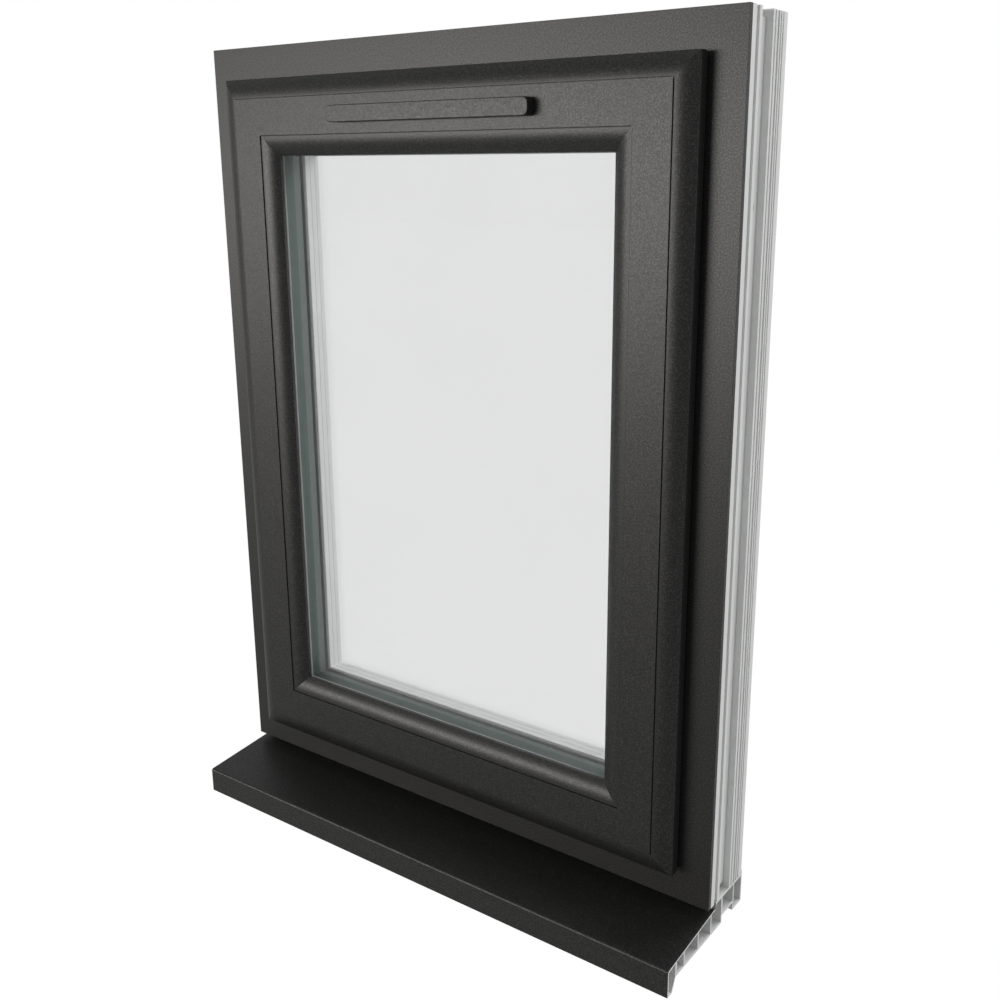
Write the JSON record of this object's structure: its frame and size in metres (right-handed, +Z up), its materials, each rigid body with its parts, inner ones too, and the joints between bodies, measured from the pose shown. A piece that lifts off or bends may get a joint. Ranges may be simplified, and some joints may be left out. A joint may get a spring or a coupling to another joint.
{
  "type": "side-hung casement window",
  "caption": "Outward-opening side-hung casement window: foiled overlapping sash with sealed glass, frame, projecting hollow sill, friction stays, lever lock and trickle vent.",
  "frame": {"origin": "centre of the sill's bedding face along its length, in the plane of the frame's outside face", "axes": "+X along the width seen from outside, hinge side at -X; +Y into the room; +Z up"},
  "size_m": [0.605, 0.1669, 0.8249],
  "materials": {
    "white_frame": "smooth white with a dark grained film on the outside faces",
    "foiled_sash": "fine grained dark grey film outside, white inside",
    "soft_seal": "soft matt",
    "block_plastic": "moulded",
    "pane_glass": "clear float glass",
    "spacer_metal": "mill finish",
    "plated_steel": "zinc plated",
    "bright_button": "polished"
  },
  "bodies": {
    "frame": {"frame_head": "white_frame", "frame_bottom_rail": "white_frame", "frame_hinge_jamb": "white_frame", "frame_lock_jamb": "white_frame", "sill": "white_frame", "sill_screws": "plated_steel", "frame_seal": "soft_seal", "stay_plates": "plated_steel", "stay_plate_screws": "plated_steel", "plate_pivots": "plated_steel", "lock_keeps": "plated_steel", "keep_screws": "plated_steel"},
    "stay_arms": {"stay_arms": "plated_steel"},
    "sash": {"sash_top_rail": "foiled_sash", "sash_bottom_rail": "foiled_sash", "sash_hinge_stile": "foiled_sash", "sash_lock_stile": "foiled_sash", "sash_seal": "soft_seal", "outer_pane": "pane_glass", "inner_pane": "pane_glass", "spacer_bar": "spacer_metal", "edge_seal": "soft_seal", "outer_glazing_gasket": "soft_seal", "inner_glazing_gasket": "soft_seal", "bead_top": "white_frame", "bead_bottom": "white_frame", "bead_hinge_side": "white_frame", "bead_lock_side": "white_frame", "setting_blocks": "block_plastic", "sash_brackets": "plated_steel", "bracket_screws": "plated_steel", "bracket_pivots": "plated_steel", "guide_pins": "plated_steel", "lock_faceplate": "plated_steel", "faceplate_screws": "plated_steel", "lock_gearbox": "plated_steel", "handle_base": "white_frame", "handle_screws": "plated_steel", "vent_canopy": "foiled_sash", "canopy_base": "foiled_sash", "canopy_screws": "plated_steel", "vent_controller": "white_frame", "controller_screws": "plated_steel"},
    "drive_bar": {"drive_bar": "plated_steel", "lock_cams": "plated_steel"},
    "handle": {"handle_lever": "white_frame", "handle_spindle": "plated_steel", "lock_pinion": "plated_steel"},
    "button": {"handle_button": "bright_button"},
    "shutter": {"vent_shutter": "white_frame"}
  },
  "joints": [
    {"name": "stay_swing", "type": "hinge", "parent": "frame", "child": "stay_arms", "pos_m": [-0.1, 0.025, 0.4208], "axis": [0, 0, 1], "range_deg": [0, 26]},
    {"name": "sash_turn", "type": "hinge", "parent": "stay_arms", "child": "sash", "pos_m": [-0.21377, 0.0082, 0.4208], "axis": [0, 0, -1], "range_deg": [0, 78]},
    {"name": "handle_turn", "type": "hinge", "parent": "sash", "child": "handle", "pos_m": [0.23627, 0.046, 0.4208], "axis": [0, 1, 0], "range_deg": [0, 90]},
    {"name": "bar_slide", "type": "slide", "parent": "sash", "child": "drive_bar", "axis": [0, 0, -1], "range_m": [0, 0.0201]},
    {"name": "button_press", "type": "slide", "parent": "handle", "child": "button", "axis": [0, -1, 0], "range_m": [0, 0.0025], "stiffness_N_per_m": 400},
    {"name": "shutter_slide", "type": "slide", "parent": "sash", "child": "shutter", "axis": [1, 0, 0], "range_m": [0, 0.024]}
  ],
  "couplings": [
    {"joint": "stay_swing", "follows": "sash_turn", "ratio": 0.33333},
    {"joint": "bar_slide", "follows": "handle_turn", "m_per_rad": 0.012732}
  ]
}
